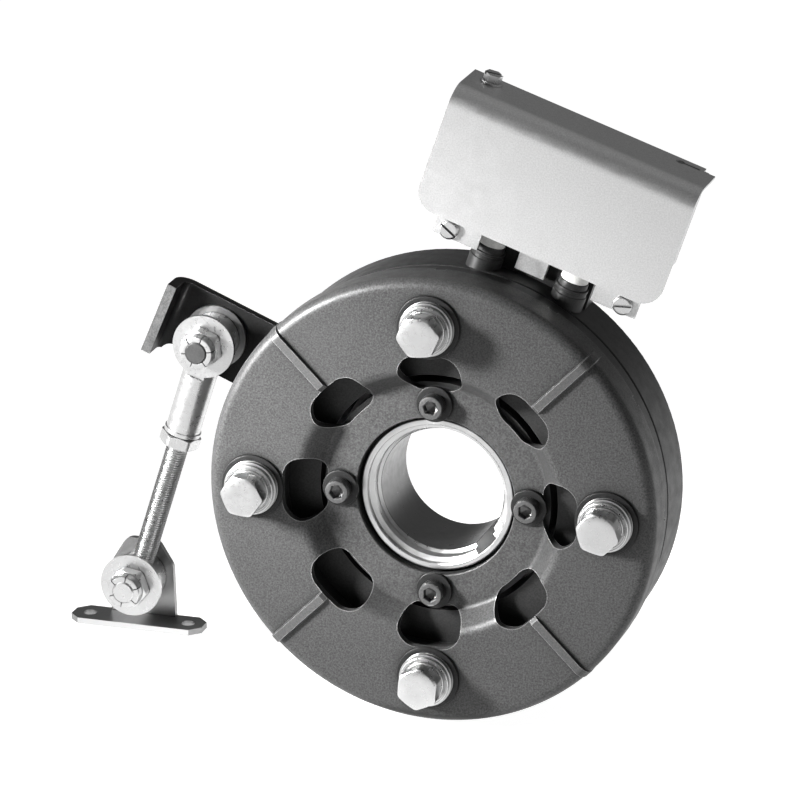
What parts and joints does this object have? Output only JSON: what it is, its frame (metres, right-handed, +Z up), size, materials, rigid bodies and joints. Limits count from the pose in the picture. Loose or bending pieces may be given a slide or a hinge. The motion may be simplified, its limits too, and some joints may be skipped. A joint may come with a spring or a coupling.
{
  "type": "electromagnetic clutch",
  "caption": "Stationary-field electromagnetic clutch with a formed drive plate, a keyed through bore, a hinged torque arm with a foot, and a conduit box over the coil terminals.",
  "frame": {"origin": "on the shaft axis, in the middle of the parallel keyed bore", "axes": "+Y along the shaft axis from the drive plate to the field's rear face, +Z up, +X to the right seen from the front"},
  "size_m": [0.332, 0.091, 0.3187],
  "materials": {
    "black_plate": "phosphated, slightly oiled, fine grain",
    "black_iron": "black, satin",
    "black_steel": "black oxide, satin",
    "bright_steel": "bright zinc plated",
    "turned_steel": "fine turned",
    "spring_steel": "polished spring steel",
    "ground_steel": "ground",
    "cover_sheet": "satin, fine grain",
    "lining": "matt friction material",
    "bobbin_plastic": "moulded",
    "copper_wire": "enamelled wire",
    "potting_resin": "cast resin",
    "brass": "machined",
    "bushing_white": "moulded, light"
  },
  "bodies": {
    "field": {"field_shell": "black_iron", "coil_bobbin": "bobbin_plastic", "coil_winding": "copper_wire", "coil_potting": "potting_resin", "field_bearing_outer_ring": "ground_steel", "field_snap_ring": "black_steel", "terminal_bosses": "black_iron", "terminal_bushings": "bushing_white", "terminal_studs": "brass", "terminal_pad": "black_iron", "box_stand": "cover_sheet", "conduit_base": "cover_sheet", "ear_brackets": "cover_sheet", "conduit_cover": "cover_sheet", "ear_screws": "bright_steel", "cover_screw": "bright_steel", "torque_bracket": "black_steel", "bracket_screws": "bright_steel", "upper_pivot_bolt": "black_steel", "upper_rear_washer": "bright_steel", "upper_front_washer": "bright_steel", "upper_crown_nut": "bright_steel"},
    "rotor": {"rotor_hub": "turned_steel", "pole_ring": "black_iron", "friction_lining": "lining", "rotor_screws": "black_steel", "field_bearing_inner_ring": "ground_steel", "front_bearing_inner_ring": "ground_steel", "hub_rear_snap_ring": "black_steel", "hub_front_snap_ring": "black_steel"},
    "field_ball_set": {"field_bearing_balls": "ground_steel", "field_bearing_cage": "brass"},
    "front_ball_set": {"front_bearing_balls": "ground_steel", "front_bearing_cage": "brass"},
    "output": {"drive_plate": "black_plate", "output_ring": "black_iron", "cap_screws": "black_steel", "cap_screw_washers": "black_steel", "spring_seats": "black_steel", "disc_springs": "spring_steel", "front_bearing_outer_ring": "ground_steel", "output_snap_ring": "black_steel"},
    "armature": {"armature_ring": "black_iron", "armature_bolts": "bright_steel", "lock_washers": "bright_steel", "spring_cups": "bright_steel"},
    "link": {"eye_sleeve": "bright_steel"},
    "lock_nut": {"jam_nut": "bright_steel"},
    "rod": {"threaded_rod": "bright_steel", "lower_eye": "bright_steel"},
    "foot": {"foot_bracket": "bright_steel", "lower_pivot_bolt": "bright_steel", "lower_washer": "bright_steel", "lower_crown_nut": "bright_steel"}
  },
  "joints": [
    {"name": "rotor_spin", "type": "hinge", "parent": "field", "child": "rotor", "pos_m": [0, 0, 0], "axis": [0, 1, 0], "continuous": true},
    {"name": "field_ball_set_spin", "type": "hinge", "parent": "field", "child": "field_ball_set", "pos_m": [0, 0, 0], "axis": [0, 1, 0], "continuous": true},
    {"name": "output_spin", "type": "hinge", "parent": "rotor", "child": "output", "pos_m": [0, 0, 0], "axis": [0, 1, 0], "continuous": true},
    {"name": "front_ball_set_spin", "type": "hinge", "parent": "rotor", "child": "front_ball_set", "pos_m": [0, 0, 0], "axis": [0, 1, 0], "continuous": true},
    {"name": "armature_slide", "type": "slide", "parent": "output", "child": "armature", "axis": [0, 1, 0], "range_m": [0, 0.0008], "deforming": ["disc_springs"]},
    {"name": "link_swing", "type": "hinge", "parent": "field", "child": "link", "pos_m": [-0.12934, 0.0097, 0.05358], "axis": [0, 1, 0], "range_deg": [-12, 12]},
    {"name": "lock_nut_travel", "type": "slide", "parent": "link", "child": "lock_nut", "axis": [-0.2957, 0, -0.9553], "range_m": [0, 0.008]},
    {"name": "rod_adjust", "type": "slide", "parent": "link", "child": "rod", "axis": [-0.2957, 0, -0.9553], "range_m": [-0.006, 0.012]},
    {"name": "foot_swing", "type": "hinge", "parent": "rod", "child": "foot", "pos_m": [-0.16932, 0.0097, -0.07558], "axis": [0, 1, 0], "range_deg": [-15, 15]}
  ],
  "couplings": [
    {"joint": "field_ball_set_spin", "follows": "rotor_spin", "ratio": 0.4659},
    {"joint": "front_ball_set_spin", "follows": "output_spin", "ratio": 0.5289}
  ]
}
